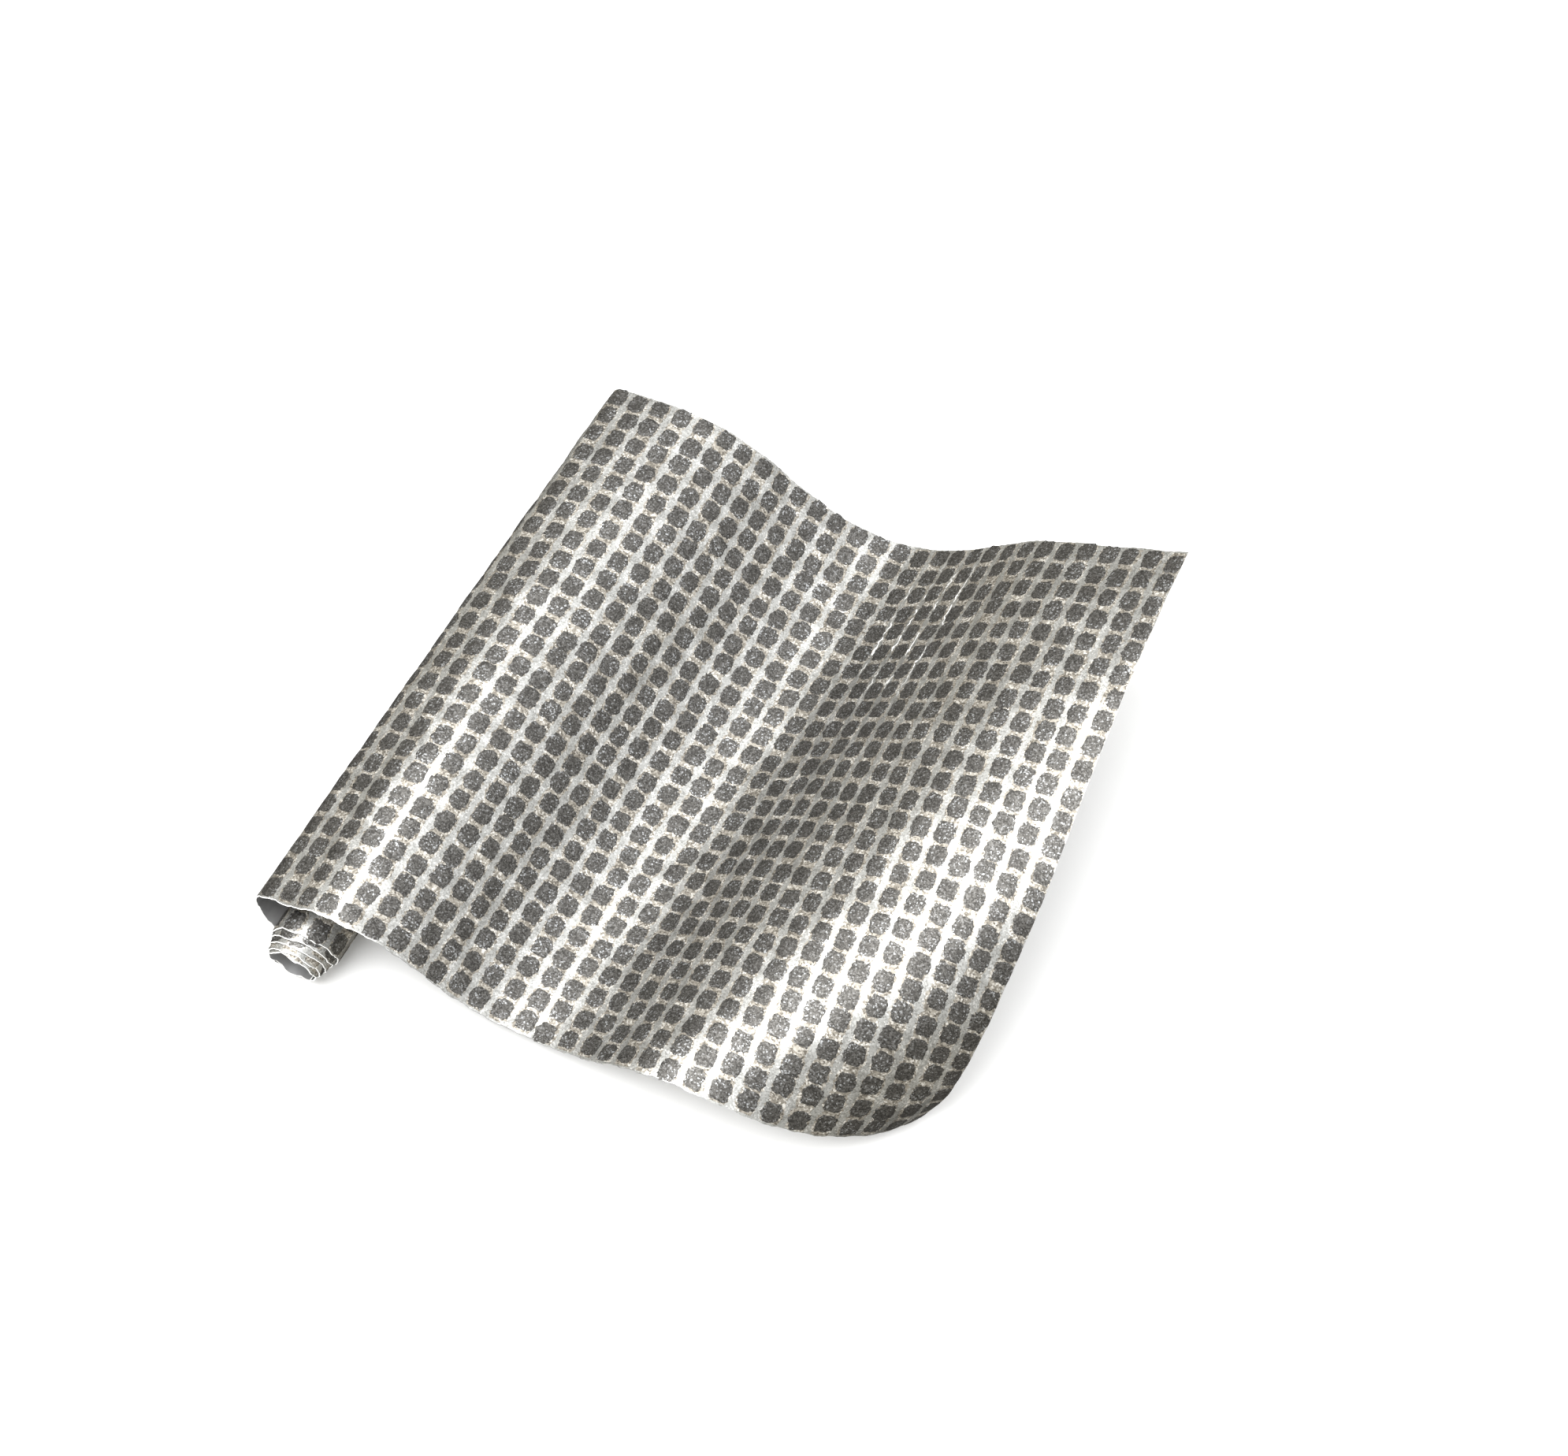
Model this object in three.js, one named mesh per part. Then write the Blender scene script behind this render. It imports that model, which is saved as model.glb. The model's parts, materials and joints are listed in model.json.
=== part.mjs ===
// Foam sleeping pad, a thin laminated mat that lies half unrolled: a loose roll, a first lap that
// comes over the top of it, and a free end that rises from the table and curls down at one corner.
// X runs along the sheet from the roll to the free end, Y runs along the roll from front to back, Z is up.
import * as THREE from 'three';

// Driving dimensions, in millimetres and degrees.
const PITCH = 20;
const WIDTH = 26 * PITCH;
const FREE_END = 29.7 * PITCH;
const BACKING = 0.08;
const FOAM = 0.84;
const FILM = 0.08;
const NUB = 0.25;
const BOND = 0.05;
const SPLIT = 0.3;

// Heights of the layers above the sheet's underside.
const FOAM_LOW = BACKING + BOND;
const FILM_LOW = FOAM_LOW + FOAM + BOND;
const NUB_LOW = FILM_LOW + FILM + BOND;
const SHEET_TOP = NUB_LOW + NUB;

// Slope of the sheet above the table, at equal steps of its own length from row zero to the free end.
const SLOPE_STEP = 4.2 * PITCH;
const BACK_SLOPES = [16, 7, -33, -16, 37, 50, 34, 36];
const MIDDLE_SLOPES = [58, -7, -36, -10, 42, 39, 23, 3];
const FRONT_SLOPES = [84, -5, -39, 6, 39, 6, -6, -48];
const BACK_HEIGHT = 2.3 * PITCH;
const FRONT_HEIGHT = 1.9 * PITCH;
const INTEGRATION_STEP = 2;

// The front corner of the free end curls down past a line from the front edge to the free end.
const CURL_FRONT = 16.5 * PITCH;
const CURL_END = 14.15 * PITCH;
const CURL_RADIUS = 4.5 * PITCH;
const PROBE = 5;

// The nose is where the first lap turns back under itself. It runs along a straight line.
const LAP_START = 2 * PITCH;
const NOSE_BACK = new THREE.Vector2(0.9 * PITCH, 2.2 * PITCH);
const NOSE_FRONT = new THREE.Vector2(-1.1 * PITCH, 2.1 * PITCH);
const LOWER_NOSE_STATIONS = [0.1, 0.25, 0.4, 0.58, 0.73, 0.88];
const UPPER_NOSE_STATIONS = [0, 0.12, 0.36, 0.6, 0.8];
const NOSE_SHIFT = 0.5 * PITCH;

// The roll is a spiral with flat facets, wound so that each turn sticks out a little at the front.
const ROLL_RADIUS = 28.5;
const ROLL_TURNS = 5.5;
const TURN_PITCH = 1.75;
const TURN_SHIFT = 0.33 * PITCH;
const FACETS = 24;
const FACET_ANGLE = 360 / FACETS;
const ROLL_START = 232.5;
const ROLL_ROUND_END = 292.5;
const ROLL_BACK_X = 3.2 * PITCH;
const ROLL_FRONT_X = 1.3 * PITCH;
const ROLL_HEIGHT = ROLL_RADIUS * Math.cos(THREE.MathUtils.degToRad(FACET_ANGLE / 2));

// Divisions of the sheet across its width, from back to front, closer where the corner curls.
const STRAIGHT_ACROSS = [0, 1];
const WAVY_ACROSS = [0, 0.2, 0.4, 0.55, 0.68, 0.79, 0.9, 1];
const ACROSS_PROBE = 0.04;

// Rows of nubs run along the roll. Row numbers count along the sheet from the nose. A row on the nose
// is given by its stations from the nose's tip.
const ROW_PHASE = 0.314;
const ROW_HALF_WIDTH = 0.36;
const FIRST_ROW = 2;
const VALLEY_ROW = 12;
const LAST_ROW = 29;
const ROLL_ROWS = 9;
const ROLL_ROW_HALF_ANGLE = 13;
const NOSE_ROWS = [[-6, -4, STRAIGHT_ACROSS], [-3, -1, STRAIGHT_ACROSS], [1, 3, WAVY_ACROSS]];

const FINISHES = {
  backing_film: { color: 0x77777a, roughness: 0.6, metalness: 0.1 },
  foam_core: { color: 0xf1f0ec, roughness: 0.9, metalness: 0 },
  silver_film: { color: 0xb9b9bb, roughness: 0.35, metalness: 0.6 },
  nub_strip: { color: 0x5c5a57, roughness: 0.9, metalness: 0 },
};

const { degToRad, lerp, clamp } = THREE.MathUtils;

// Slope in radians, through the control slopes by a Catmull-Rom curve, at s along and v across.
function slopeAt(s, v) {
  const weights = [(1 - v) * (1 - 2 * v), 4 * v * (1 - v), v * (2 * v - 1)];
  const last = BACK_SLOPES.length - 1;
  const knot = (k) => {
    const i = clamp(k, 0, last);
    return weights[0] * BACK_SLOPES[i] + weights[1] * MIDDLE_SLOPES[i] + weights[2] * FRONT_SLOPES[i];
  };
  const position = clamp(s / SLOPE_STEP, 0, last - 1e-9);
  const k = Math.floor(position);
  const w = position - k;
  const [a, b, c, d] = [knot(k - 1), knot(k), knot(k + 1), knot(k + 2)];
  const cubic = (-a + 3 * b - 3 * c + d) * w ** 3 + (2 * a - 5 * b + 4 * c - d) * w ** 2;
  return degToRad(0.5 * (2 * b + (c - a) * w + cubic));
}

// Underside of the open sheet before the corner curls, found by adding up its slope.
function openSheet(s, v) {
  const steps = Math.max(1, Math.round(s / INTEGRATION_STEP));
  const ds = s / steps;
  let x = 0;
  let z = lerp(BACK_HEIGHT, FRONT_HEIGHT, v);
  for (let i = 0; i < steps; i += 1) {
    const slope = slopeAt((i + 0.5) * ds, v);
    x += Math.cos(slope) * ds;
    z += Math.sin(slope) * ds;
  }
  return new THREE.Vector3(x, -v * WIDTH, z);
}

// Underside of the open sheet, with its front corner bent round a cylinder that lies across it.
function curledSheet(s, v) {
  const along = new THREE.Vector2(FREE_END - CURL_FRONT, CURL_END - WIDTH).normalize();
  const outward = new THREE.Vector2(-along.y, along.x);
  const beyond = (s - CURL_FRONT) * outward.x + (v * WIDTH - WIDTH) * outward.y;
  if (beyond <= 0) return openSheet(s, v);
  const footS = s - beyond * outward.x;
  const footV = v - beyond * outward.y / WIDTH;
  const probe = (direction, distance) =>
    openSheet(footS + direction.x * distance, footV + direction.y * distance / WIDTH);
  const ahead = probe(outward, PROBE).sub(probe(outward, -PROBE)).normalize();
  const side = probe(along, PROBE).sub(probe(along, -PROBE)).normalize();
  const up = new THREE.Vector3().crossVectors(ahead, side).normalize();
  if (up.z < 0) up.negate();
  const angle = beyond / CURL_RADIUS;
  return openSheet(footS, footV)
    .addScaledVector(ahead, CURL_RADIUS * Math.sin(angle))
    .addScaledVector(up, -CURL_RADIUS * (1 - Math.cos(angle)));
}

const noseTip = (v) => NOSE_BACK.clone().lerp(NOSE_FRONT, v);

// Upper half of the nose, from its tip (t = 0) up to where the open sheet starts (t = 1).
function upperNose(t, v) {
  const tip = noseTip(v);
  const start = openSheet(LAP_START, v);
  const end = new THREE.Vector2(start.x, start.z);
  const slope = slopeAt(LAP_START, v);
  const handle = 0.4 * tip.distanceTo(end);
  const tipHandle = tip.clone().add(new THREE.Vector2(0, handle));
  const endHandle = end.clone().sub(new THREE.Vector2(Math.cos(slope), Math.sin(slope)).multiplyScalar(handle));
  const point = new THREE.CubicBezierCurve(tip, tipHandle, endHandle, end).getPoint(t);
  return new THREE.Vector3(point.x, -v * WIDTH, point.y);
}

// Underside of the roll at an angle counted from the front, anticlockwise, past the end of the nose.
function rollPoint(angle, v) {
  const wound = Math.max(0, angle - ROLL_ROUND_END) / 360;
  const radius = ROLL_RADIUS - SHEET_TOP - TURN_PITCH * wound;
  const shift = NOSE_SHIFT + TURN_SHIFT * (angle - ROLL_START) / 360;
  const y = -v * WIDTH - shift;
  const centreX = lerp(ROLL_BACK_X, ROLL_FRONT_X, -y / WIDTH);
  const turn = degToRad(angle);
  return new THREE.Vector3(centreX + radius * Math.cos(turn), y, ROLL_HEIGHT + radius * Math.sin(turn));
}

// Lower half of the nose, from the outside of the roll (t = 0) up to the tip (t = 1).
function lowerNose(t, v) {
  const start = rollPoint(ROLL_START, v);
  const low = new THREE.Vector2(start.x, start.z);
  const tip = noseTip(v);
  const handle = 0.42 * low.distanceTo(tip);
  const turn = degToRad(ROLL_START);
  const lowHandle = low.clone().add(new THREE.Vector2(Math.sin(turn), -Math.cos(turn)).multiplyScalar(handle));
  const tipHandle = tip.clone().sub(new THREE.Vector2(0, handle));
  const point = new THREE.CubicBezierCurve(low, lowHandle, tipHandle, tip).getPoint(t);
  return new THREE.Vector3(point.x, -v * WIDTH - NOSE_SHIFT * (1 - t), point.y);
}

// Stations are the places along the whole sheet where its facets meet, from inside the roll to the free end.
const stations = [];
const rollFacets = Math.round(ROLL_TURNS * FACETS);
for (let i = rollFacets; i >= 0; i -= 1) {
  stations.push((v) => rollPoint(ROLL_START + i * FACET_ANGLE, v));
}
for (const t of LOWER_NOSE_STATIONS) stations.push((v) => lowerNose(t, v));
const noseStation = stations.length;
for (const t of UPPER_NOSE_STATIONS) stations.push((v) => upperNose(t, v));
const rowStations = new Map();
const rowEdge = (row, side) => (row + ROW_PHASE + side * ROW_HALF_WIDTH) * PITCH;
for (let row = FIRST_ROW; row <= LAST_ROW; row += 1) {
  const low = Math.max(rowEdge(row, -1), LAP_START);
  rowStations.set(row, stations.length);
  stations.push((v) => curledSheet(low, v));
  stations.push((v) => curledSheet(rowEdge(row, 1), v));
}
stations.push((v) => curledSheet(FREE_END, v));

// A point of the laminate: a station number, which may fall between two, a place across, and a height.
const cache = new Map();
function underside(index, v) {
  const key = `${index}/${v}`;
  if (!cache.has(key)) cache.set(key, stations[index](v));
  return cache.get(key);
}
function normalAt(index, v) {
  const before = underside(Math.max(0, index - 1), v);
  const after = underside(Math.min(stations.length - 1, index + 1), v);
  const back = underside(index, Math.max(0, v - ACROSS_PROBE));
  const front = underside(index, Math.min(1, v + ACROSS_PROBE));
  const along = after.clone().sub(before);
  const across = back.clone().sub(front);
  return along.cross(across).normalize();
}
function laminatePoint(station, v, height) {
  const index = Math.min(Math.floor(station), stations.length - 2);
  const corner = (i) => underside(i, v).clone().addScaledVector(normalAt(i, v), height);
  return corner(index).lerp(corner(index + 1), station - index);
}

// One closed slab of the laminate between two stations, two heights and the given places across.
function slab(from, to, low, high, across) {
  const along = [from];
  for (let i = Math.floor(from) + 1; i < to - 1e-6; i += 1) along.push(i);
  along.push(to);
  const positions = [];
  for (const height of [low, high]) {
    for (const station of along) {
      for (const v of across) positions.push(...laminatePoint(station, v, height).toArray());
    }
  }
  const columns = across.length;
  const level = along.length * columns;
  const at = (i, j, top) => top * level + i * columns + j;
  const indices = [];
  const quad = (a, b, c, d) => indices.push(a, b, c, a, c, d);
  const lastI = along.length - 1;
  const lastJ = columns - 1;
  for (let i = 0; i < lastI; i += 1) {
    for (let j = 0; j < lastJ; j += 1) {
      quad(at(i, j, 1), at(i, j + 1, 1), at(i + 1, j + 1, 1), at(i + 1, j, 1));
      quad(at(i, j, 0), at(i + 1, j, 0), at(i + 1, j + 1, 0), at(i, j + 1, 0));
    }
    quad(at(i, 0, 0), at(i, 0, 1), at(i + 1, 0, 1), at(i + 1, 0, 0));
    quad(at(i, lastJ, 0), at(i + 1, lastJ, 0), at(i + 1, lastJ, 1), at(i, lastJ, 1));
  }
  for (let j = 0; j < lastJ; j += 1) {
    quad(at(0, j, 0), at(0, j + 1, 0), at(0, j + 1, 1), at(0, j, 1));
    quad(at(lastI, j, 0), at(lastI, j, 1), at(lastI, j + 1, 1), at(lastI, j + 1, 0));
  }
  const geometry = new THREE.BufferGeometry();
  geometry.setAttribute('position', new THREE.Float32BufferAttribute(positions, 3));
  geometry.setIndex(indices);
  return geometry;
}

const materials = {};
for (const [name, finish] of Object.entries(FINISHES)) materials[name] = new THREE.MeshStandardMaterial(finish);

const pad = new THREE.Group();
function addPiece(name, finish, geometry) {
  const mesh = new THREE.Mesh(geometry, materials[finish]);
  mesh.name = name;
  pad.add(mesh);
}

// The three bonded layers, in the stretches that move as one: the roll, the lap and the free end.
const stationLength = (index) => underside(index, 0.5).distanceTo(underside(index + 1, 0.5));
const valleyStation = rowStations.get(VALLEY_ROW) + 1.5;
const noseSplitLow = noseStation - SPLIT / 2 / stationLength(noseStation - 1);
const noseSplitHigh = noseStation + SPLIT / 2 / stationLength(noseStation);
const valleySplit = SPLIT / 2 / stationLength(Math.floor(valleyStation));
const stretches = [
  ['roll', 0, noseSplitLow, STRAIGHT_ACROSS],
  ['lap', noseSplitHigh, valleyStation - valleySplit, WAVY_ACROSS],
  ['free_end', valleyStation + valleySplit, stations.length - 1, WAVY_ACROSS],
];
for (const [stretch, from, to, across] of stretches) {
  addPiece(`${stretch}_backing_film`, 'backing_film', slab(from, to, 0, BACKING, across));
  addPiece(`${stretch}_foam_core`, 'foam_core', slab(from, to, FOAM_LOW, FOAM_LOW + FOAM, across));
  addPiece(`${stretch}_silver_film`, 'silver_film', slab(from, to, FILM_LOW, FILM_LOW + FILM, across));
}

// Rows of nubs, each a strip that runs the full width of the sheet.
function addNubStrip(name, from, to, across) {
  addPiece(name, 'nub_strip', slab(from, to, NUB_LOW, SHEET_TOP, across));
}
for (let i = 0; i < ROLL_ROWS; i += 1) {
  const centre = 270 + (i - 1) * 360 / ROLL_ROWS;
  const angleStation = (angle) => rollFacets - (angle - ROLL_START) / FACET_ANGLE;
  const from = angleStation(centre + ROLL_ROW_HALF_ANGLE);
  const to = angleStation(centre - ROLL_ROW_HALF_ANGLE);
  if (centre - ROLL_ROW_HALF_ANGLE > ROLL_START) {
    addNubStrip(`roll_nub_strip_${String(i).padStart(2, '0')}`, from, to, STRAIGHT_ACROSS);
  }
}
NOSE_ROWS.forEach(([from, to, across], i) => {
  addNubStrip(`nose_nub_strip_${i + 1}`, noseStation + from, noseStation + to, across);
});
for (let row = FIRST_ROW; row <= LAST_ROW; row += 1) {
  const start = rowStations.get(row);
  addNubStrip(`nub_strip_${String(row).padStart(2, '0')}`, start, start + 1, WAVY_ACROSS);
}

// The origin is the middle of the pad's footprint, on the table.
const box = new THREE.Box3().setFromObject(pad);
const middle = box.getCenter(new THREE.Vector3());
pad.position.set(-middle.x, -middle.y, -box.min.z);

export default pad;
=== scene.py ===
"""Foam sleeping pad, half unrolled: a thin laminate with a silver face and rows of gritty nubs.

The surface repeats the design of the part: the same roll, nose, lap and free end, in metres. Every
layer and every row of nubs is laid out on that one surface, by distance along it and across it.
"""
import json
import math

import bpy
import numpy as np
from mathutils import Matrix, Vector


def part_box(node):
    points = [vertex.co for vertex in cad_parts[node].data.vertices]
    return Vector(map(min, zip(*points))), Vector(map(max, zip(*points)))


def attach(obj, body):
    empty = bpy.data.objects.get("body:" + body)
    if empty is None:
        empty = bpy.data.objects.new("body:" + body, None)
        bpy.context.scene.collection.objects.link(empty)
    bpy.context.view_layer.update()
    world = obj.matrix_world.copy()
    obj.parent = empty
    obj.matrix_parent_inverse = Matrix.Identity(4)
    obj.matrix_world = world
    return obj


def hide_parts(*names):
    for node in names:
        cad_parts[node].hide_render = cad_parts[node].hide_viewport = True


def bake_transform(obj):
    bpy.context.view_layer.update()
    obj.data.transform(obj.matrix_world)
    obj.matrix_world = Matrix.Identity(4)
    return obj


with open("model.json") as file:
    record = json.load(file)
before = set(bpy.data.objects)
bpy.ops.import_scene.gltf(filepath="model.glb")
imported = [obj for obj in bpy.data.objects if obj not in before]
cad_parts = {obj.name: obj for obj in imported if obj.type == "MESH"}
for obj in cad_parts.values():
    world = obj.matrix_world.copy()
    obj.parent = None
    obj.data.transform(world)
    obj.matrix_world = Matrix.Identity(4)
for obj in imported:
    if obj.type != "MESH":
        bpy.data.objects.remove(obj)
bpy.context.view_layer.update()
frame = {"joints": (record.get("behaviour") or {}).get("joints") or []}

# ---- The design's driving dimensions, in metres and degrees --------------------------------------
PITCH = 0.020
NUBS_ACROSS = 26
WIDTH = NUBS_ACROSS * PITCH
FREE_END = 29.7 * PITCH
SHEET_TOP = 0.0014
SLOPE_STEP = 4.2 * PITCH
BACK_SLOPES = np.array([16.0, 7.0, -33.0, -16.0, 37.0, 50.0, 34.0, 36.0])
MIDDLE_SLOPES = np.array([58.0, -7.0, -36.0, -10.0, 42.0, 39.0, 23.0, 3.0])
FRONT_SLOPES = np.array([84.0, -5.0, -39.0, 6.0, 39.0, 6.0, -6.0, -48.0])
BACK_HEIGHT = 2.3 * PITCH
FRONT_HEIGHT = 1.9 * PITCH
CURL_FRONT = 16.5 * PITCH
CURL_END = 14.15 * PITCH
CURL_RADIUS = 4.5 * PITCH
CURL_PROBE = 0.005
LAP_START = 2 * PITCH
NOSE_BACK = np.array([0.9, 2.2]) * PITCH
NOSE_FRONT = np.array([-1.1, 2.1]) * PITCH
NOSE_SHIFT = 0.5 * PITCH
UPPER_HANDLE = 0.4
LOWER_HANDLE = 0.42
ROLL_RADIUS = 0.0285
ROLL_TURNS = 5.5
TURN_PITCH = 0.00175
TURN_SHIFT = 0.33 * PITCH
ROLL_START = 232.5
ROLL_ROUND_END = 292.5
ROLL_BACK_X = 3.2 * PITCH
ROLL_FRONT_X = 1.3 * PITCH
ROW_PHASE = 0.314
NUB_PHASE = 0.45
LAST_ROW = 29
ROLL_ROWS = 8

# Heights of the layers above the sheet's underside.
BACKING_TOP = 0.00010
FOAM_TOP = 0.00100
FILM_TOP = 0.00108
WEB_TOP = 0.00118
NUB_TOP = 0.00142

# How finely the surface is worked out, along and across. The margin is a share of the width.
TABLE_STEP = 0.002
TABLE_COLUMNS = 134
TABLE_MARGIN = 0.004
OPEN_STEPS = 300
ROLL_STEPS = 4000
NOSE_STEPS = 120

# The sheet's small waves, each a length in metres, a direction in radians and a height in metres.
# They fade in over the length LAP_START, from WAVES_START on.
WAVES = [(0.052, 0.3, 0.00022), (0.034, -0.9, 0.00016), (0.081, 1.1, 0.00030), (0.041, 1.9, 0.00014)]
WAVE_PHASE = 2.1
WAVES_START = -1.0 * PITCH
CHANNEL_DEPTH = 0.00014

# The roll ends at the last place behind the lap that is lower than this, in metres.
ROLL_CONTACT = 0.004


def unit(vectors):
    """The vectors, each made one long."""
    return vectors / np.linalg.norm(vectors, axis=-1, keepdims=True)


# ---- The sheet's surface --------------------------------------------------------------------------
def slope_at(s, v):
    """Slope in radians at s along and v across, through the control slopes by a Catmull-Rom curve."""
    weights = [(1 - v) * (1 - 2 * v), 4 * v * (1 - v), v * (2 * v - 1)]
    last = len(BACK_SLOPES) - 1
    position = np.clip(s / SLOPE_STEP, 0, last - 1e-9)
    k = np.floor(position).astype(int)
    w = position - k

    def knot(i):
        i = np.clip(i, 0, last)
        back, middle, front = BACK_SLOPES[i], MIDDLE_SLOPES[i], FRONT_SLOPES[i]
        return weights[0] * back + weights[1] * middle + weights[2] * front

    a, b, c, d = (knot(k + i) for i in (-1, 0, 1, 2))
    cubic = (-a + 3 * b - 3 * c + d) * w**3 + (2 * a - 5 * b + 4 * c - d) * w**2
    return np.radians(0.5 * (2 * b + (c - a) * w + cubic))


def open_sheet(s, v):
    """Underside of the open sheet before its corner curls, found by adding up its slope."""
    share = (np.arange(OPEN_STEPS) + 0.5) / OPEN_STEPS
    slope = slope_at(s[..., None] * share, v[..., None])
    x = np.cos(slope).mean(-1) * s
    z = BACK_HEIGHT + (FRONT_HEIGHT - BACK_HEIGHT) * v + np.sin(slope).mean(-1) * s
    return np.stack([x, -v * WIDTH, z], -1)


def curled_sheet(s, v):
    """Underside of the open sheet, with its front corner bent round a cylinder that lies across it."""
    along = unit(np.array([FREE_END - CURL_FRONT, CURL_END - WIDTH]))
    outward = np.array([-along[1], along[0]])
    beyond = (s - CURL_FRONT) * outward[0] + (v * WIDTH - WIDTH) * outward[1]
    foot_s = s - beyond * outward[0]
    foot_v = v - beyond * outward[1] / WIDTH

    def probe(direction, distance):
        return open_sheet(foot_s + direction[0] * distance, foot_v + direction[1] * distance / WIDTH)

    ahead = unit(probe(outward, CURL_PROBE) - probe(outward, -CURL_PROBE))
    side = unit(probe(along, CURL_PROBE) - probe(along, -CURL_PROBE))
    up = unit(np.cross(ahead, side))
    up = np.where(up[..., 2:] < 0, -up, up)
    angle = (beyond / CURL_RADIUS)[..., None]
    bend = ahead * np.sin(angle) - up * (1 - np.cos(angle))
    curled = open_sheet(foot_s, foot_v) + CURL_RADIUS * bend
    return np.where(beyond[..., None] > 0, curled, open_sheet(s, v))


def bezier(points, t):
    """Points on the cubic curve with these four control points."""
    a, b, c, d = points
    t = t[:, None]
    return a * (1 - t) ** 3 + 3 * b * t * (1 - t) ** 2 + 3 * c * t**2 * (1 - t) + d * t**3


def roll_curve(v):
    """The spiral at v across, from the inner end to where the nose leaves it."""
    angle = np.linspace(ROLL_START + 360 * ROLL_TURNS, ROLL_START, ROLL_STEPS)
    wound = np.maximum(0, angle - ROLL_ROUND_END) / 360
    radius = ROLL_RADIUS - SHEET_TOP - TURN_PITCH * wound
    y = -v * WIDTH - NOSE_SHIFT - TURN_SHIFT * (angle - ROLL_START) / 360
    centre = ROLL_BACK_X + (ROLL_FRONT_X - ROLL_BACK_X) * -y / WIDTH
    turn = np.radians(angle)
    return np.stack([centre + radius * np.cos(turn), y, ROLL_RADIUS + radius * np.sin(turn)], 1)


def nose_curve(v, low, lap):
    """The nose at v across, from the roll at low, round its tip and up to the lap's first point."""
    tip = NOSE_BACK + (NOSE_FRONT - NOSE_BACK) * v
    start, end = low[[0, 2]], lap[[0, 2]]
    turn = math.radians(ROLL_START)
    slope = float(slope_at(np.array(LAP_START), np.array(v)))
    low_reach = LOWER_HANDLE * np.linalg.norm(start - tip)
    up_reach = UPPER_HANDLE * np.linalg.norm(end - tip)
    t = np.linspace(0, 1, NOSE_STEPS)
    lower = bezier([start, start + low_reach * np.array([math.sin(turn), -math.cos(turn)]),
                    tip - np.array([0, low_reach]), tip], t)
    upper = bezier([tip, tip + np.array([0, up_reach]),
                    end - up_reach * np.array([math.cos(slope), math.sin(slope)]), end], t)
    x, z = np.concatenate([lower[:-1], upper]).T
    shift = NOSE_SHIFT * np.concatenate([1 - t[:-1], np.zeros(len(t))])
    return np.stack([x, -v * WIDTH - shift, z], 1)


def resample(points, far):
    """Points every TABLE_STEP along a line, counted back from its end, as far as the distance given."""
    lengths = np.linalg.norm(np.diff(points, axis=0), axis=1)
    back = np.concatenate([np.cumsum(lengths[::-1])[::-1], [0]])
    wanted = np.arange(round(far / TABLE_STEP), 0, -1) * TABLE_STEP
    return np.stack([np.interp(-wanted, -back, points[:, k]) for k in range(3)], 1)


def row_wave(s):
    """1 along the middle of every row of nubs and -1 along the middle of every channel."""
    return np.cos(2 * math.pi * (s / PITCH - ROW_PHASE))


def undulation(s, across):
    """Height of the sheet's small waves in metres, with a shallow groove along every channel."""
    height = 0
    for k, (length, turn, size) in enumerate(WAVES):
        along = s * math.cos(turn) + across * math.sin(turn)
        height = height + size * np.sin(2 * math.pi * along / length + WAVE_PHASE * k)
    return height + CHANNEL_DEPTH / 2 * row_wave(s)


def surface_normals(points):
    """The direction square to the surface at every point of a grid."""
    return unit(np.cross(np.gradient(points, axis=0), -np.gradient(points, axis=1)))


def surface_table():
    """Points and normals of the sheet's underside, on a grid of distances along it and places across."""
    across = np.linspace(-TABLE_MARGIN, 1 + TABLE_MARGIN, TABLE_COLUMNS)
    ahead = np.arange(round(LAP_START / TABLE_STEP), round(FREE_END / TABLE_STEP) + 1) * TABLE_STEP
    grid_s, grid_v = np.meshgrid(ahead, across, indexing="ij")
    ahead_points = curled_sheet(grid_s, grid_v)
    rolled = []
    for column, v in enumerate(across):
        roll = roll_curve(v)
        rolled.append(np.concatenate([roll[:-1], nose_curve(v, roll[-1], ahead_points[0, column])]))
    lengths = [np.linalg.norm(np.diff(line, axis=0), axis=1).sum() for line in rolled]
    far = math.floor(min(lengths) / TABLE_STEP) * TABLE_STEP
    behind_points = np.stack([resample(line, far) for line in rolled], 1)
    points = np.concatenate([behind_points, ahead_points])
    nose_low, back_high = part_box("roll_backing_film")[0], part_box("free_end_backing_film")[1]
    points += np.array([nose_low.x - NOSE_FRONT[0], back_high.y, 0])
    start = LAP_START - far
    s = start + np.arange(len(points)) * TABLE_STEP
    fade_in = np.clip((s[:, None] - WAVES_START) / LAP_START, 0, 1)
    wave = undulation(s[:, None], across * WIDTH) * fade_in
    points += wave[..., None] * surface_normals(points)
    points[..., 2] = np.maximum(points[..., 2], 0)
    return start, across, points, surface_normals(points)


ROLL_END, TABLE_ACROSS, TABLE_POINTS, TABLE_NORMALS = surface_table()


def roll_seam():
    """Where the nose leaves the roll, as a distance along the sheet."""
    middle = TABLE_POINTS[:, TABLE_COLUMNS // 2, :]
    behind = (ROLL_END + np.arange(len(middle)) * TABLE_STEP) < LAP_START
    low = np.where(behind, middle[:, 2], 1)
    return ROLL_END + TABLE_STEP * int(np.nonzero(low < ROLL_CONTACT)[0].max())


NOSE_START = roll_seam()


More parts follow.
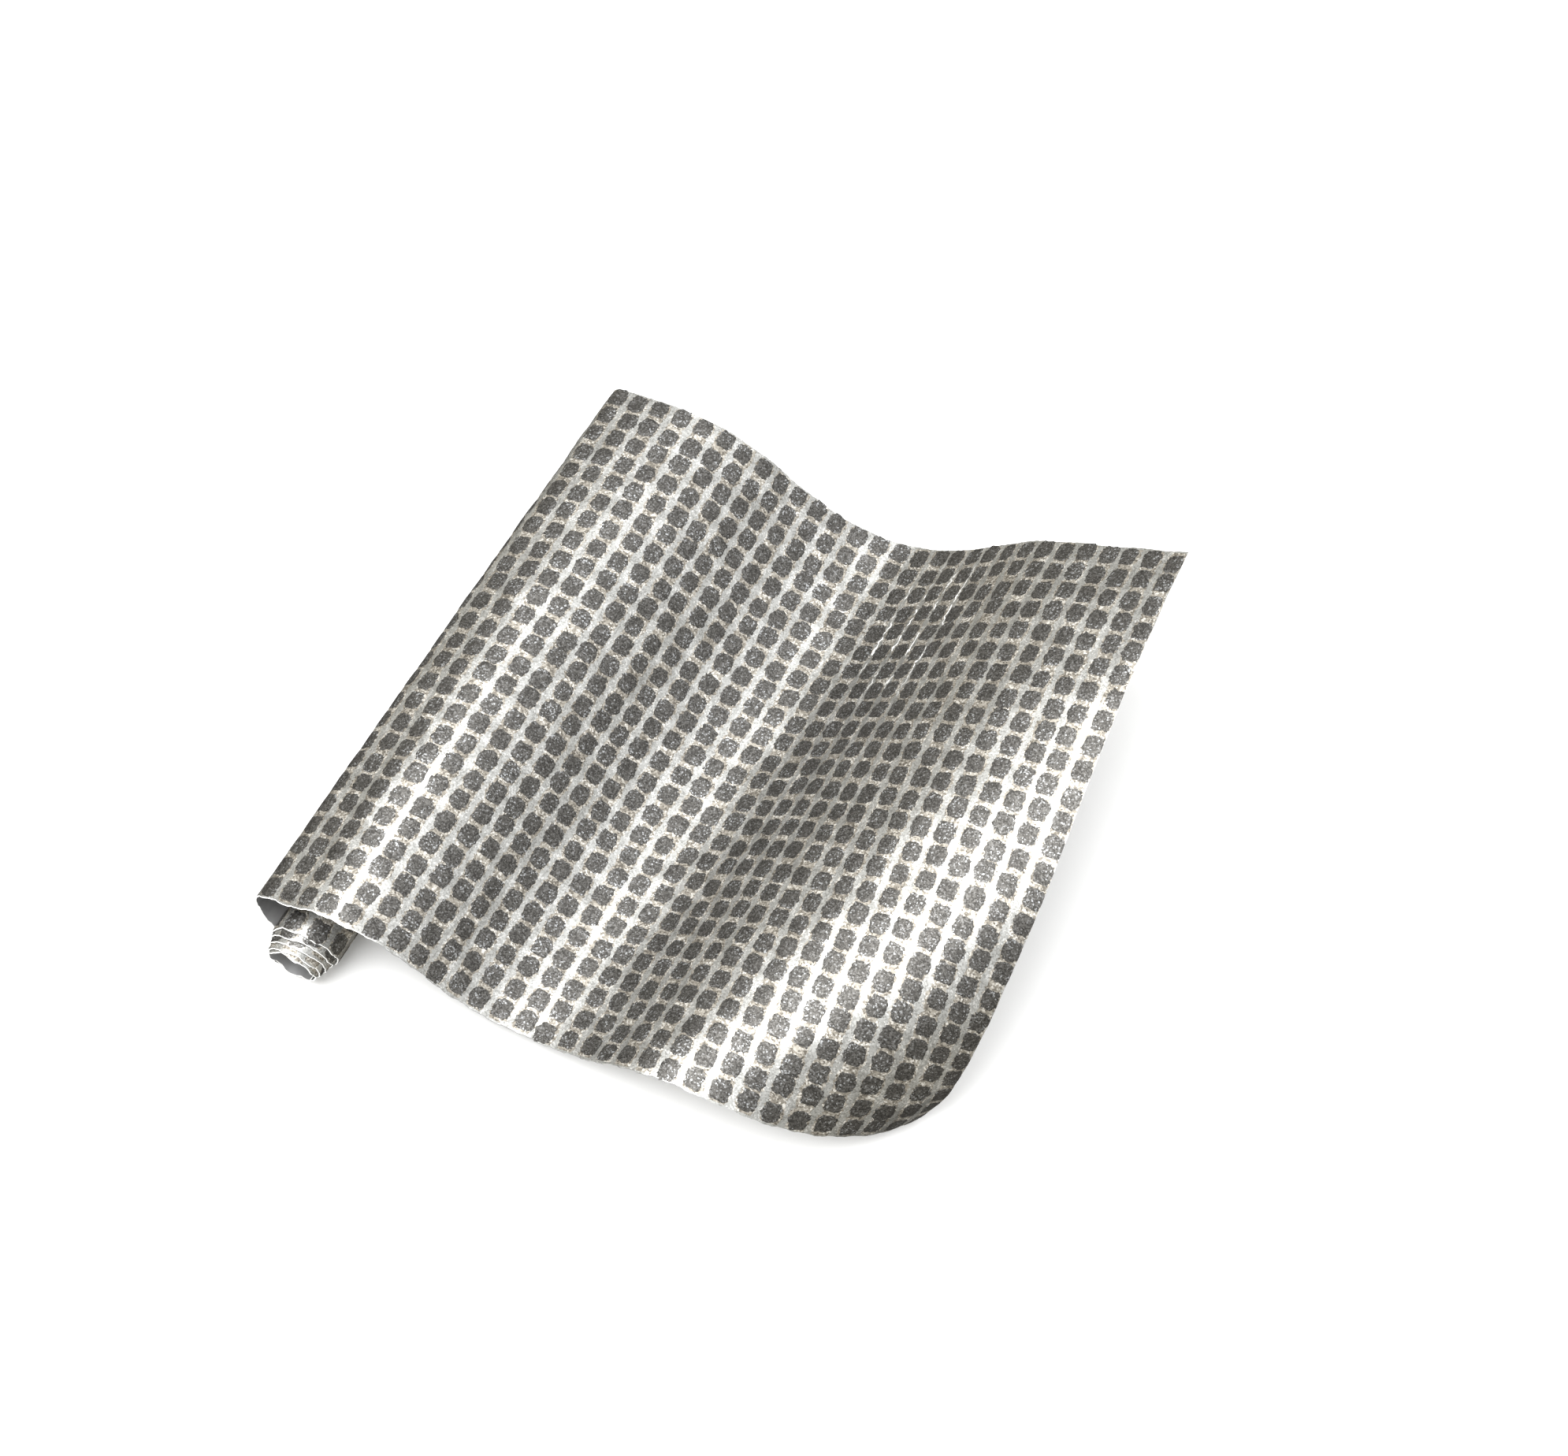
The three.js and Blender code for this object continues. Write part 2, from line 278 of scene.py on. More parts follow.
def place(s, v, height):
    """The point at s along the sheet, v across it and height above its underside."""
    row = np.clip((s - ROLL_END) / TABLE_STEP, 0, len(TABLE_POINTS) - 1.001)
    column = (v - TABLE_ACROSS[0]) / (TABLE_ACROSS[1] - TABLE_ACROSS[0])
    column = np.clip(column, 0, TABLE_COLUMNS - 1.001)
    i, j = row.astype(int), column.astype(int)
    p, q = (row - i)[..., None], (column - j)[..., None]

    def mixed(table):
        near = table[i, j] * (1 - q) + table[i, j + 1] * q
        far = table[i + 1, j] * (1 - q) + table[i + 1, j + 1] * q
        return near * (1 - p) + far * p

    return mixed(TABLE_POINTS) + mixed(TABLE_NORMALS) * np.asarray(height)[..., None]


# ---- Materials ------------------------------------------------------------------------------------
# The slow drift of the grains' tone: its features in a metre, and the part of the noise that it uses.
CLOUD_SCALE = 60
CLOUD_RANGE = (0.35, 0.65)

# Painted glints, white lines that stand for light caught by creased channels, each as from, to and fade:
# the place in a channel, the rows, the distance across in metres, and the level of the noise that breaks
# the lines up.
GLINT_LINE = (0.455, 0.545, 0.03)
GLINT_ROWS = (15.3, 20.6, 1.0)
GLINT_ACROSS = (0.005, 0.17, 0.05)
GLINT_BREAKS = (0.47, 2.0, 0.05)
GLINT_BREAK_SCALE = 45
GLINT_WANDER_SCALE = 130
GLINT_WANDER = 0.6
PAINTED_GLINT_WHITE = (0.9, 0.9, 0.88, 1)


def material(name):
    """A new material, its node tree and its shader."""
    made = bpy.data.materials.new(name)
    made.use_nodes = True
    tree = made.node_tree
    return made, tree, tree.nodes["Principled BSDF"]


def sheet_place(tree):
    """The place on the sheet, in metres along it and across it."""
    node = tree.nodes.new("ShaderNodeUVMap")
    node.uv_map = "sheet"
    return node.outputs["UV"]


def sheet_noise(tree, scale, detail=2.0, stretch=(1.0, 1.0)):
    """Noise that sticks to the sheet, with about this many features in a metre."""
    mapping = tree.nodes.new("ShaderNodeMapping")
    mapping.inputs["Scale"].default_value = (*stretch, 1.0)
    noise = tree.nodes.new("ShaderNodeTexNoise")
    noise.inputs["Scale"].default_value = scale
    noise.inputs["Detail"].default_value = detail
    tree.links.new(sheet_place(tree), mapping.inputs["Vector"])
    tree.links.new(mapping.outputs["Vector"], noise.inputs["Vector"])
    return noise.outputs["Fac"]


def ramp(tree, value, stops):
    """A colour ramp through (position, colour) stops."""
    node = tree.nodes.new("ShaderNodeValToRGB")
    elements = node.color_ramp.elements
    while len(elements) < len(stops):
        elements.new(0.5)
    for element, (position, colour) in zip(elements, stops):
        element.position = position
        element.color = (*colour, 1.0)
    tree.links.new(value, node.inputs["Fac"])
    return node.outputs["Color"]


def bump(tree, shader, height, distance, strength):
    """Relief on the shader, from a height of 0 to 1 times the distance in metres."""
    node = tree.nodes.new("ShaderNodeBump")
    node.inputs["Distance"].default_value = distance
    node.inputs["Strength"].default_value = strength
    tree.links.new(height, node.inputs["Height"])
    tree.links.new(node.outputs["Normal"], shader.inputs["Normal"])


def rescale(tree, value, low, high, new_low=0.0, new_high=1.0):
    """The value, with the range from low to high moved to the new one and cut off at its ends."""
    node = tree.nodes.new("ShaderNodeMapRange")
    limits = {"From Min": low, "From Max": high, "To Min": new_low, "To Max": new_high}
    for name, limit in limits.items():
        node.inputs[name].default_value = limit
    tree.links.new(value, node.inputs["Value"])
    return node.outputs["Result"]


def calculate(tree, operation, first, second, clamp=False):
    """A math node on two inputs, each a socket or a number."""
    node = tree.nodes.new("ShaderNodeMath")
    node.operation = operation
    node.use_clamp = clamp
    for slot, value in zip(node.inputs, (first, second)):
        if isinstance(value, (int, float)):
            slot.default_value = value
        else:
            tree.links.new(value, slot)
    return node.outputs["Value"]


def grains(tree, scale, wander):
    """Grains that stick to the sheet, about this many in a metre: a random share for each, 0 to 1.

    The share drifts slowly over the sheet, by up to wander either way.
    """
    cells = tree.nodes.new("ShaderNodeTexVoronoi")
    cells.inputs["Scale"].default_value = scale
    cells.inputs["Randomness"].default_value = 1.0
    tree.links.new(sheet_place(tree), cells.inputs["Vector"])
    split = tree.nodes.new("ShaderNodeSeparateColor")
    tree.links.new(cells.outputs["Color"], split.inputs["Color"])
    drift = rescale(tree, sheet_noise(tree, CLOUD_SCALE), *CLOUD_RANGE, -wander, wander)
    return calculate(tree, "ADD", split.outputs["Red"], drift, clamp=True)


def band(tree, value, low, high, fade):
    """1 where value lies well between low and high, falling to 0 at both over the fade."""
    rise = calculate(tree, "DIVIDE", calculate(tree, "SUBTRACT", value, low), fade)
    fall = calculate(tree, "DIVIDE", calculate(tree, "SUBTRACT", high, value), fade)
    return calculate(tree, "MINIMUM", rise, fall, clamp=True)


def painted_glint_share(tree):
    """Where the drawn-up film is creased, painted glints: thin broken white lines along some of the
    channels.
    """
    split = tree.nodes.new("ShaderNodeSeparateXYZ")
    tree.links.new(sheet_place(tree), split.inputs["Vector"])
    pitches = calculate(tree, "DIVIDE", split.outputs["X"], PITCH)
    rows = calculate(tree, "SUBTRACT", pitches, ROW_PHASE)
    noise = calculate(tree, "SUBTRACT", sheet_noise(tree, GLINT_WANDER_SCALE, 3), 0.5)
    wander = calculate(tree, "MULTIPLY", noise, GLINT_WANDER)
    channel = calculate(tree, "FRACT", calculate(tree, "ADD", rows, wander), 0.0)
    breaks = band(tree, sheet_noise(tree, GLINT_BREAK_SCALE), *GLINT_BREAKS)
    lines = calculate(tree, "MULTIPLY", band(tree, channel, *GLINT_LINE), breaks)
    along = band(tree, rows, *GLINT_ROWS)
    across = band(tree, split.outputs["Y"], *GLINT_ACROSS)
    return calculate(tree, "MULTIPLY", lines, calculate(tree, "MULTIPLY", along, across))


def silver_film():
    """Metallised film with a pearly shine, a fine grain and, where it is drawn up, painted white glints on
    creases.
    """
    made, tree, shader = material("silver_film")
    grain = grains(tree, 900, 0.25)
    stops = [(0.0, (0.26, 0.26, 0.248)), (0.35, (0.375, 0.375, 0.362)), (0.85, (0.45, 0.452, 0.44)),
             (1.0, (0.62, 0.62, 0.61))]
    # Painted glints: white, less metallic lines mixed into the base colour stand for light caught by
    # creases.
    painted_glint = painted_glint_share(tree)
    mix = tree.nodes.new("ShaderNodeMix")
    mix.data_type = "RGBA"
    tree.links.new(painted_glint, mix.inputs["Factor"])
    tree.links.new(ramp(tree, grain, stops), mix.inputs["A"])
    mix.inputs["B"].default_value = PAINTED_GLINT_WHITE
    tree.links.new(mix.outputs["Result"], shader.inputs["Base Color"])
    tree.links.new(calculate(tree, "SUBTRACT", 0.92, painted_glint), shader.inputs["Metallic"])
    shader.inputs["Roughness"].default_value = 0.40
    bump(tree, shader, grain, 0.00010, 0.7)
    return made


def nub_grit():
    """Dark, gritty print: fine grains with a few that catch the light."""
    made, tree, shader = material("nub_grit")
    grain = grains(tree, 950, 0.08)
    stops = [(0.0, (0.045, 0.043, 0.040)), (0.45, (0.086, 0.083, 0.078)), (0.80, (0.135, 0.131, 0.124)),
             (0.95, (0.22, 0.22, 0.22)), (1.0, (0.40, 0.41, 0.42))]
    tree.links.new(ramp(tree, grain, stops), shader.inputs["Base Color"])
    shader.inputs["Metallic"].default_value = 0.90
    shader.inputs["Roughness"].default_value = 0.46
    bump(tree, shader, grain, 0.00013, 0.8)
    return made


def web_grit():
    """The pale, sandy fringe of the print, between the nubs of one row."""
    made, tree, shader = material("web_grit")
    grain = grains(tree, 750, 0.15)
    stops = [(0.0, (0.12, 0.108, 0.09)), (0.4, (0.28, 0.258, 0.222)), (0.75, (0.40, 0.375, 0.33)),
             (1.0, (0.72, 0.70, 0.66))]
    tree.links.new(ramp(tree, grain, stops), shader.inputs["Base Color"])
    shader.inputs["Roughness"].default_value = 0.46
    shader.inputs["Metallic"].default_value = 0.75
    bump(tree, shader, grain, 0.00018, 0.8)
    return made


def foam_core():
    """White closed-cell foam, with the fine cells of a cut edge."""
    made, tree, shader = material("foam_core")
    cells = sheet_noise(tree, 1200, 2)
    tree.links.new(ramp(tree, cells, [(0.3, (0.80, 0.80, 0.78)), (0.7, (0.95, 0.95, 0.94))]),
                   shader.inputs["Base Color"])
    shader.inputs["Roughness"].default_value = 0.9
    bump(tree, shader, cells, 0.0002, 0.5)
    return made


def backing_film():
    """Plain satin film on the side without nubs."""
    made, tree, shader = material("backing_film")
    cloud = sheet_noise(tree, 90, 4, (1.0, 0.4))
    tree.links.new(ramp(tree, cloud, [(0.3, (0.27, 0.27, 0.275)), (0.7, (0.36, 0.36, 0.365))]),
                   shader.inputs["Base Color"])
    shader.inputs["Metallic"].default_value = 0.5
    shader.inputs["Roughness"].default_value = 0.42
    bump(tree, shader, sheet_noise(tree, 500, 3), 0.0001, 0.6)
    return made


SILVER = silver_film()
NUB = nub_grit()
WEB = web_grit()
FOAM = foam_core()
BACKING = backing_film()

# ---- Meshes ---------------------------------------------------------------------------------------
# How the edges are cut, in metres, with the inner turns counted in turns of TURN_LENGTH. Each wave of
# an edge is a length and a size.
EDGE_WAVES = [(0.0470, 0.00035), (0.0083, 0.00018), (0.0057, 0.00014), (0.1300, 0.00050)]
EDGE_PHASE = 7
BACK_EDGE_PHASE = 0.4
FRONT_EDGE_PHASE = 2.9
SCALLOP = 0.0009
BACK_LIP = 0.0003
FRONT_LIP = 0.00045
FRONT_INSET = 0.0003
OPEN_EDGE = 6 * PITCH
TURN_LENGTH = 0.150
TURN_CUT = 0.0016
INNER_TURNS = 4
INNER_CUT = 0.0050
TEAR = 0.0004
TEAR_LENGTHS = (0.0031, 0.0053)


def add_piece(name, points, faces, sheet_places, materials, material_index=None, sharp_angle=50):
    """A mesh object with its places on the sheet as UVs, in metres."""
    mesh = bpy.data.meshes.new(name)
    mesh.from_pydata(points.tolist(), [], faces)
    layer = mesh.uv_layers.new(name="sheet")
    corners = np.zeros(len(mesh.loops), dtype=np.int32)
    mesh.loops.foreach_get("vertex_index", corners)
    layer.data.foreach_set("uv", sheet_places[corners].astype(np.float32).ravel())
    for entry in materials:
        mesh.materials.append(entry)
    if material_index is not None:
        mesh.polygons.foreach_set("material_index", np.asarray(material_index, dtype=np.int32))
    mesh.polygons.foreach_set("use_smooth", np.ones(len(mesh.polygons), dtype=bool))
    mesh.set_sharp_from_angle(angle=math.radians(sharp_angle))
    mesh.update()
    piece = bpy.data.objects.new(name, mesh)
    bpy.context.scene.collection.objects.link(piece)
    return piece


def box_faces(rows, columns):
    """Faces of a closed slab: a lower grid, then an upper one, each rows by columns, with four walls."""
    index = np.arange(2 * rows * columns).reshape(2, rows, columns)
    low, high = index

    def quads(grid):
        corners = [grid[:-1, :-1], grid[:-1, 1:], grid[1:, 1:], grid[1:, :-1]]
        return np.stack([corner.ravel() for corner in corners], 1)

    def wall(lower, upper):
        return np.stack([lower[:-1], lower[1:], upper[1:], upper[:-1]], 1)

    parts = [
        quads(high),
        quads(low)[:, ::-1],
        wall(low[:, 0], high[:, 0])[:, ::-1],
        wall(low[:, -1], high[:, -1]),
        wall(low[0], high[0]),
        wall(low[-1], high[-1])[:, ::-1],
    ]
    return np.concatenate(parts)


def edge_wobble(s, phase):
    """How far a hand-cut edge strays, in metres, at s along the sheet."""
    wobble = 0
    for k, (length, size) in enumerate(EDGE_WAVES):
        wobble = wobble + size * np.sin(2 * math.pi * s / length + phase + EDGE_PHASE * k)
    return wobble


def front_edge(s):
    """Where the front edge of the sheet lies, in metres across it: it dips in at every channel."""
    dip = SCALLOP / 2 * (1 - row_wave(s))
    turns = np.clip((NOSE_START - s) / TURN_LENGTH, 0, None)
    torn = np.clip(turns, 0, 1) * TEAR * (np.sin(s / TEAR_LENGTHS[0]) + np.sin(s / TEAR_LENGTHS[1] + 1))
    cut = TURN_CUT * turns + INNER_CUT * np.clip(turns - INNER_TURNS, 0, None)
    return WIDTH + edge_wobble(s, FRONT_EDGE_PHASE) - dip - cut + torn


def foam_margins(s):
    """How far the foam shows beyond the films at the back edge and at the front edge."""
    rolled = np.clip((OPEN_EDGE - s) / PITCH, 0, 1)
    return np.full(s.shape, BACK_LIP), FRONT_LIP * rolled - FRONT_INSET * (1 - rolled)


def layer(name, start, end, low, high, material_used, is_foam):
    """One layer of the laminate between two places along the sheet, as a thin closed slab."""
    s = np.linspace(start, end, round((end - start) / TABLE_STEP) + 1)
    share = np.linspace(0, 1, TABLE_COLUMNS)
    back_lip, front_lip = foam_margins(s) if is_foam else (0, 0)
    back = (edge_wobble(s, BACK_EDGE_PHASE) - back_lip) / WIDTH
    front = (front_edge(s) + front_lip) / WIDTH
    v = back[:, None] + (front - back)[:, None] * share
    s = np.broadcast_to(s[:, None], v.shape)
    sides = [place(s, v, np.full(s.shape, height)).reshape(-1, 3) for height in (low, high)]
    points = np.concatenate(sides)
    places = np.tile(np.stack([s.ravel(), v.ravel() * WIDTH], 1), (2, 1))
    faces = box_faces(*v.shape).tolist()
    return add_piece(name, points, faces, places, [material_used])


# ---- Nubs -----------------------------------------------------------------------------------------
# Sizes, NUB_ROUGHNESS and WEB_RAGGED are in metres. The other spreads are shares: of a nub's size, or
# of the pitch where a nub or a row shifts. PUCKER_ROW and PUCKER_SPREAD are in rows.
NUB_POINTS = 36
INNER_NUB_POINTS = 14
NUB_HALF_ALONG = 0.375 * PITCH
NUB_HALF_ACROSS = 0.415 * PITCH
NUB_FLATNESS = 4.2
NUB_TAPER = 2.5
NUB_LOBES = 5
NUB_RIPPLE = 0.03
NUB_RAGGED = 0.062
NUB_SIZE_SPREAD = 0.03
NUB_ROUGHNESS = 0.00004
NUB_RINGS = [(1.0, 0.0), (0.98, 0.8), (0.88, 1.0), (0.66, 1.05), (0.33, 1.05)]
ROUGH_RISE = 0.9
SINK = 0.00002
FIRST_SEED = 500
ROW_SHIFT = 0.045
NUB_SHIFT = 0.05
NUB_STRAY = 0.035
EDGE_DROP = 0.3 * PITCH
EDGE_KEEP = 0.42 * PITCH
PUCKER_ROW = 17
PUCKER_SPREAD = 3.2
PUCKER_FRONT = 1.25
PUCKER_GROWTH = 0.07
WEB_MARGIN = 0.0012
WEB_STEP = 0.0012
WEB_COLUMNS = 9
WEB_HALF_NECK = 0.31 * PITCH
WEB_HALF_SWELL = 0.09 * PITCH
WEB_LEAN = 0.015 * PITCH
WEB_RAGGED = 0.0007


def pucker(s, v):
    """How tightly the sheet is drawn up along its length, 0 to 1: most on the slope behind the valley."""
    near = np.exp(-(((s / PITCH - PUCKER_ROW) / PUCKER_SPREAD) ** 2))
    return near * np.clip(PUCKER_FRONT - v, 0, 1)


def nub_outline(random, points, growth):
    """Offsets along and across of a nub's ragged outline, flat towards the channels and tapered beside."""
    angle = np.arange(points) / points * 2 * math.pi
    cosine, sine = np.cos(angle), np.sin(angle)
    along = NUB_HALF_ALONG * (1 + growth) * np.sign(cosine) * np.abs(cosine) ** (2 / NUB_FLATNESS)
    across = NUB_HALF_ACROSS * np.sign(sine) * np.abs(sine) ** (2 / NUB_TAPER)
    ripple = NUB_RIPPLE * np.sin(NUB_LOBES * angle + random.uniform(0, 6))
    ragged = 1 + ripple + random.normal(0, NUB_RAGGED, points)
    size = random.normal(1.0, NUB_SIZE_SPREAD)
    return along * ragged * size, across * ragged * size


def nub_mesh(random, s, v, points):
    """Vertices, places on the sheet and faces of one nub, a low closed button."""
    along, across = nub_outline(random, points, PUCKER_GROWTH * pucker(s, v))
    height = NUB_TOP - FILM_TOP
    rings = []
    for share, rise in NUB_RINGS:
        roughness = random.normal(0, NUB_ROUGHNESS, points) * (rise > ROUGH_RISE)
        heights = FILM_TOP - SINK + height * rise + roughness
        rings.append((s + along * share, v + across * share / WIDTH, heights))
    centres = [(np.array([s]), np.array([v]), np.array([FILM_TOP + height])),
               (np.array([s]), np.array([v]), np.array([FILM_TOP - SINK]))]
    all_s, all_v, all_h = (np.concatenate([part[k] for part in rings + centres]) for k in range(3))
    vertices = place(all_s, all_v, all_h)
    ring = np.arange(points)
    after = np.roll(ring, -1)
    faces = []
    for k in range(len(rings) - 1):
        low, high = k * points, (k + 1) * points
        faces += np.stack([low + after, low + ring, high + ring, high + after], 1).tolist()
    last, top, bottom = (len(rings) - 1) * points, len(rings) * points, len(rings) * points + 1
    faces += [[last + int(b), last + int(a), top] for a, b in zip(ring, after)]
    faces += [[int(a), int(b), bottom] for a, b in zip(ring, after)]
    return vertices, np.stack([all_s, all_v * WIDTH], 1), faces


def web_mesh(random, s, places_across):
    """The fringe of one row: a thin closed slab, wider beside each nub, with ragged sides."""
    a = np.arange(WEB_MARGIN, float(front_edge(np.array(s))) - WEB_MARGIN, WEB_STEP)
    nearest = np.abs(a[:, None] - places_across).min(1) / PITCH
    swell = WEB_HALF_SWELL * np.cos(np.clip(nearest, 0, 0.5) * math.pi)
    half = (WEB_HALF_NECK + swell) * (1 + PUCKER_GROWTH * pucker(s, a / WIDTH))
    left = WEB_LEAN - half + random.normal(0, WEB_RAGGED, len(a))
    right = WEB_LEAN + half + random.normal(0, WEB_RAGGED, len(a))
    share = np.linspace(0, 1, WEB_COLUMNS)
    all_s = s + left[:, None] + (right - left)[:, None] * share
    all_v = np.broadcast_to((a / WIDTH)[:, None], all_s.shape)
    low, high = (np.full(all_s.shape, height) for height in (FILM_TOP - SINK, WEB_TOP))
    vertices = np.concatenate([place(all_s, all_v, height).reshape(-1, 3) for height in (low, high)])
    places = np.tile(np.stack([all_s.ravel(), all_v.ravel() * WIDTH], 1), (2, 1))
    return vertices, places, box_faces(*all_s.shape)[:, ::-1].tolist()


def nub_row(name, row_numbers, points=NUB_POINTS):
    """The rows of nubs with these numbers, with their fringes, as one piece."""
    vertices, places, faces, kinds = [], [], [], []
    total = 0
    for row in row_numbers:
        random = np.random.default_rng(FIRST_SEED + row)
        s = (row + ROW_PHASE) * PITCH
        shift = random.normal(0, ROW_SHIFT)
        strays = random.normal(0, NUB_SHIFT, NUBS_ACROSS)
        centres = (np.arange(NUBS_ACROSS) + NUB_PHASE + shift + strays) * PITCH
        edge = float(front_edge(np.array(s)))
        centres = np.clip(centres[centres < edge - EDGE_DROP], EDGE_KEEP, edge - EDGE_KEEP)
        parts = [(*web_mesh(random, s, centres), 1)]
        for centre in centres:
            along = s + random.normal(0, NUB_STRAY) * PITCH
            parts.append((*nub_mesh(random, along, centre / WIDTH, points), 0))
        for part_vertices, part_places, part_faces, kind in parts:
            vertices.append(part_vertices)
            places.append(part_places)
            faces += [[corner + total for corner in face] for face in part_faces]
            kinds += [kind] * len(part_faces)
            total += len(part_vertices)
    points, places = np.concatenate(vertices), np.concatenate(places)
    return add_piece(name, points, faces, places, [NUB, WEB], kinds, sharp_angle=40)


# ---- Camera, light and floor ------------------------------------------------------------------------
CAMERA_PLACE = (0.3114, -0.7514, 2.0374)
CAMERA_TURN = (23.476, -2.867, 25.639)
LENS = 63.3
KEY_AZIMUTH = 200
KEY_HEIGHT = 66
KEY_DISTANCE = 2.6
KEY_SIZE = 2.6
KEY_POWER = 104
ROOM_LEAN = (0.33, 0.33, 1.0)
ROOM = [
    (-0.6, (0.12, 0.115, 0.105)),
    (-0.42, (0.26, 0.248, 0.22)),
    (-0.25, (0.62, 0.59, 0.52)),
    (0.0, (0.40, 0.384, 0.34)),
    (0.3, (0.47, 0.46, 0.425)),
    (0.5, (0.54, 0.53, 0.50)),
    (0.8, (0.88, 0.88, 0.865)),
    (1.0, (1.2, 1.2, 1.2)),
]
ROOM_PEAK = 1.2
ROOM_POWER = 1.5
FLOOR_HALF = 8.0
# The floor's colour darkens towards the back left, from pale to dim: painted shade.
FLOOR_LEAN = (-0.6, 0.8, 0)
FLOOR_TURN = (0.10, 0.30)
FLOOR_PALE = (0.98, 0.985, 0.99)
FLOOR_PAINTED_SHADE = (0.68, 0.685, 0.69)


def add_camera():
    """The camera, from above and in front of the sheet."""
    data = bpy.data.cameras.new("camera")
    data.lens = LENS
    data.sensor_width = 36
    data.clip_end = 50
    camera = bpy.data.objects.new("camera", data)
    camera.location = CAMERA_PLACE
    camera.rotation_euler = [math.radians(angle) for angle in CAMERA_TURN]
    bpy.context.scene.collection.objects.link(camera)
    bpy.context.scene.camera = camera


def add_key_light():
    """A wide, round soft light high up, to the left and a little to the front."""
    data = bpy.data.lights.new("soft_box", "AREA")
    data.shape = "DISK"
    data.size = KEY_SIZE
    data.energy = KEY_POWER
    light = bpy.data.objects.new("soft_box", data)
    azimuth, height = math.radians(KEY_AZIMUTH), math.radians(KEY_HEIGHT)
    direction = np.array([math.cos(height) * math.cos(azimuth), math.cos(height) * math.sin(azimuth),
                          math.sin(height)])
    light.location = direction * KEY_DISTANCE
    light.rotation_euler = (math.pi / 2 - height, 0, azimuth + math.pi / 2)
    bpy.context.scene.collection.objects.link(light)


def lean(tree, coordinates, direction):
    """How far the place in these texture coordinates lies along a direction."""
    place_node = tree.nodes.new("ShaderNodeTexCoord")
    node = tree.nodes.new("ShaderNodeVectorMath")
    node.operation = "DOT_PRODUCT"
    node.inputs[1].default_value = direction
    tree.links.new(place_node.outputs[coordinates], node.inputs[0])
    return node.outputs["Value"]


def add_world():
    """A room shaded along one direction: dark at the bottom, a warm band, a dimmer one, then paler."""
    world = bpy.data.worlds.new("room")
    world.use_nodes = True
    tree = world.node_tree
    lowest, highest = ROOM[0][0], ROOM[-1][0]
    share = rescale(tree, lean(tree, "Generated", ROOM_LEAN), lowest, highest)
    stops = []
    for at, colour in ROOM:
        stops.append(((at - lowest) / (highest - lowest), tuple(part / ROOM_PEAK for part in colour)))
    background = tree.nodes["Background"]
    background.inputs["Strength"].default_value = ROOM_PEAK * ROOM_POWER
    tree.links.new(ramp(tree, share, stops), background.inputs["Color"])
    bpy.context.scene.world = world


def add_floor():
    """A matt floor, its colour a third dimmer towards the back left as painted shade, that shows in no
    reflection.
    """
    mesh = bpy.data.meshes.new("floor")
    signs = [(-1, -1), (1, -1), (1, 1), (-1, 1)]
    corners = [(x * FLOOR_HALF, y * FLOOR_HALF, 0) for x, y in signs]
    mesh.from_pydata(corners, [], [(0, 1, 2, 3)])
    made, tree, shader = material("floor")
    share = rescale(tree, lean(tree, "Object", FLOOR_LEAN), *FLOOR_TURN)
    tone = ramp(tree, share, [(0.0, FLOOR_PALE), (1.0, FLOOR_PAINTED_SHADE)])
    tree.links.new(tone, shader.inputs["Base Color"])
    shader.inputs["Roughness"].default_value = 1.0
    shader.inputs["Specular IOR Level"].default_value = 0.0
    mesh.materials.append(made)
    floor = bpy.data.objects.new("floor", mesh)
    floor.visible_glossy = False
    bpy.context.scene.collection.objects.link(floor)


# ---- What follows which body ------------------------------------------------------------------------
# Pieces that reach across the nose between two heights above the floor, or across the valley within
# VALLEY_REACH of its hinge line on either side, all in metres, ride on neither body.
NOSE_SEAM = 2.814 * PITCH
NOSE_BLEND = (0.030, 0.056)
VALLEY_REACH = 0.030


def follow(piece, first, second, start, end):
    """The piece rides on one body, or, if it reaches from start to end, on neither, its place baked into
    its mesh.
    """
    corners = np.array([vertex.co for vertex in piece.data.vertices])
    start, end = np.array(start), np.array(end)
    share = (corners - start) @ (end - start) / ((end - start) @ (end - start))
    if share.max() <= 0:
        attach(piece, first)
    elif share.min() >= 1:
        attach(piece, second)
    else:
        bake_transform(piece)


def valley_ends():
    """Two points either side of the hinge line of the valley, square to it."""
    joint = next(entry for entry in frame["joints"] if entry["name"] == "free_end_lift")
    pivot, axis = np.array(joint["pos_m"]), np.array(joint["axis"])
    square = unit(np.cross(axis, [0, 0, 1]))
    square = square * np.sign(square[0])
    return pivot - square * VALLEY_REACH, pivot + square * VALLEY_REACH


def follow_valley(piece):
    """The piece goes with the lap or the free end, or with neither if it reaches across the valley."""
    follow(piece, "lap", "free_end", *valley_ends())


